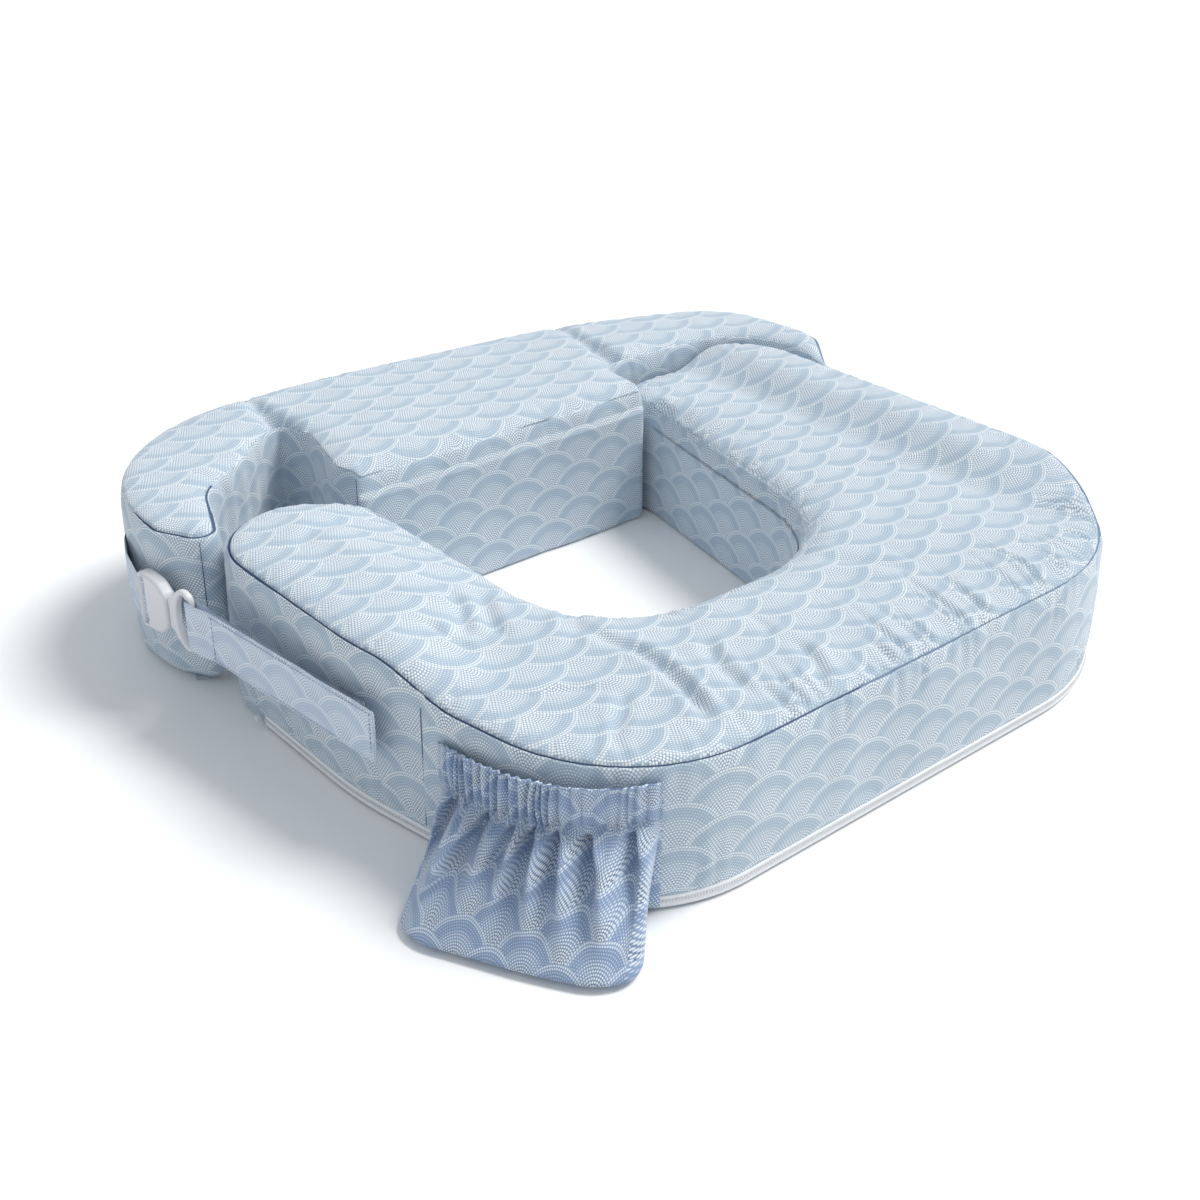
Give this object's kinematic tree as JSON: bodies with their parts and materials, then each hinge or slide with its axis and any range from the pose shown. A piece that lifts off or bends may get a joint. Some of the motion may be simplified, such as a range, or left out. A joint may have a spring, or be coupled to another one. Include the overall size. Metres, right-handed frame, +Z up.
{
  "type": "nursing pillow",
  "caption": "Wrap-around foam nursing pillow with raised arm ridges, lumbar block, side-release clip strap, gathered corner pocket and zipped printed cotton cover.",
  "frame": {"origin": "centre of the footprint at the height of the surface it lies on", "axes": "+Z up, the tray and the pocket corner face -Y, the lumbar block +Y, the clip side is -X"},
  "size_m": [0.6586, 0.6072, 0.121],
  "materials": {
    "cover_fabric": "matt printed cotton",
    "pocket_fabric": "matt printed cotton",
    "strap_fabric": "matt printed cotton, edge stitched",
    "foam": "open-cell polyurethane foam",
    "zipper_tape": "white woven tape",
    "zipper_nylon": "white nylon coil",
    "zipper_metal": "white lacquered",
    "clip_plastic": "moulded satin white",
    "elastic": "woven elastic"
  },
  "bodies": {
    "tray": {"far_ridge_foam": "foam", "near_ridge_foam": "foam", "strap_anchor_tab": "strap_fabric", "tray_cover_bottom": "cover_fabric", "tray_cover_outer_side": "cover_fabric", "tray_cover_top": "cover_fabric", "tray_cover_waist_side": "cover_fabric", "tray_foam": "foam", "web_cover_bottom": "cover_fabric", "web_cover_side": "cover_fabric", "web_cover_top": "cover_fabric", "web_foam": "foam", "zipper_coil": "zipper_nylon", "zipper_end_stops": "zipper_nylon", "zipper_tape": "zipper_tape"},
    "far_wing": {"far_wing_cover_bottom": "cover_fabric", "far_wing_cover_side": "cover_fabric", "far_wing_cover_top": "cover_fabric", "far_wing_foam": "foam"},
    "lumbar": {"lumbar_cover_bottom": "cover_fabric", "lumbar_cover_side": "cover_fabric", "lumbar_cover_top": "cover_fabric", "lumbar_foam": "foam"},
    "end_pad": {"end_pad_cover_bottom": "cover_fabric", "end_pad_cover_side": "cover_fabric", "end_pad_cover_top": "cover_fabric", "end_pad_foam": "foam", "pad_strap": "strap_fabric", "buckle_female": "clip_plastic"},
    "clip_strap": {"near_strap": "strap_fabric", "buckle_male": "clip_plastic"},
    "zipper_slider": {"zipper_slider": "zipper_metal"},
    "zipper_pull": {"zipper_pull": "zipper_metal"},
    "pocket": {"pocket_back_panel": "pocket_fabric", "pocket_elastic": "elastic", "pocket_mouth_casing": "pocket_fabric", "pocket_pouch": "pocket_fabric"}
  },
  "joints": [
    {"name": "wrap_open", "type": "hinge", "parent": "tray", "child": "far_wing", "pos_m": [0.3019, 0.06405, 0.06], "axis": [0, 0, -1], "range_deg": [0, 50], "stiffness_Nm_per_rad": 1.5},
    {"name": "far_flex", "type": "hinge", "parent": "far_wing", "child": "lumbar", "pos_m": [0.1569, 0.28305, 0.06], "axis": [0, 0, -1], "range_deg": [0, 16]},
    {"name": "near_flex", "type": "hinge", "parent": "lumbar", "child": "end_pad", "pos_m": [-0.1391, 0.30305, 0.06], "axis": [0, 0, -1], "range_deg": [0, 16]},
    {"name": "clip_release", "type": "slide", "parent": "tray", "child": "clip_strap", "axis": [0.0976, -0.9952, 0], "range_m": [0, 0.03]},
    {"name": "zipper_slide", "type": "slide", "parent": "tray", "child": "zipper_slider", "axis": [0, -1, 0], "range_m": [0, 0.13]},
    {"name": "zipper_pull_flip", "type": "hinge", "parent": "zipper_slider", "child": "zipper_pull", "pos_m": [0.2891, 0.01505, 0.0065], "axis": [0, 0, 1], "range_deg": [0, 165]},
    {"name": "pocket_flip", "type": "hinge", "parent": "tray", "child": "pocket", "pos_m": [-0.25359, -0.21321, 0.09], "axis": [-0.4848, 0.8746, 0], "range_deg": [0, 70]}
  ],
  "couplings": [
    {"joint": "far_flex", "follows": "wrap_open", "ratio": 0.3},
    {"joint": "near_flex", "follows": "wrap_open", "ratio": 0.3}
  ]
}
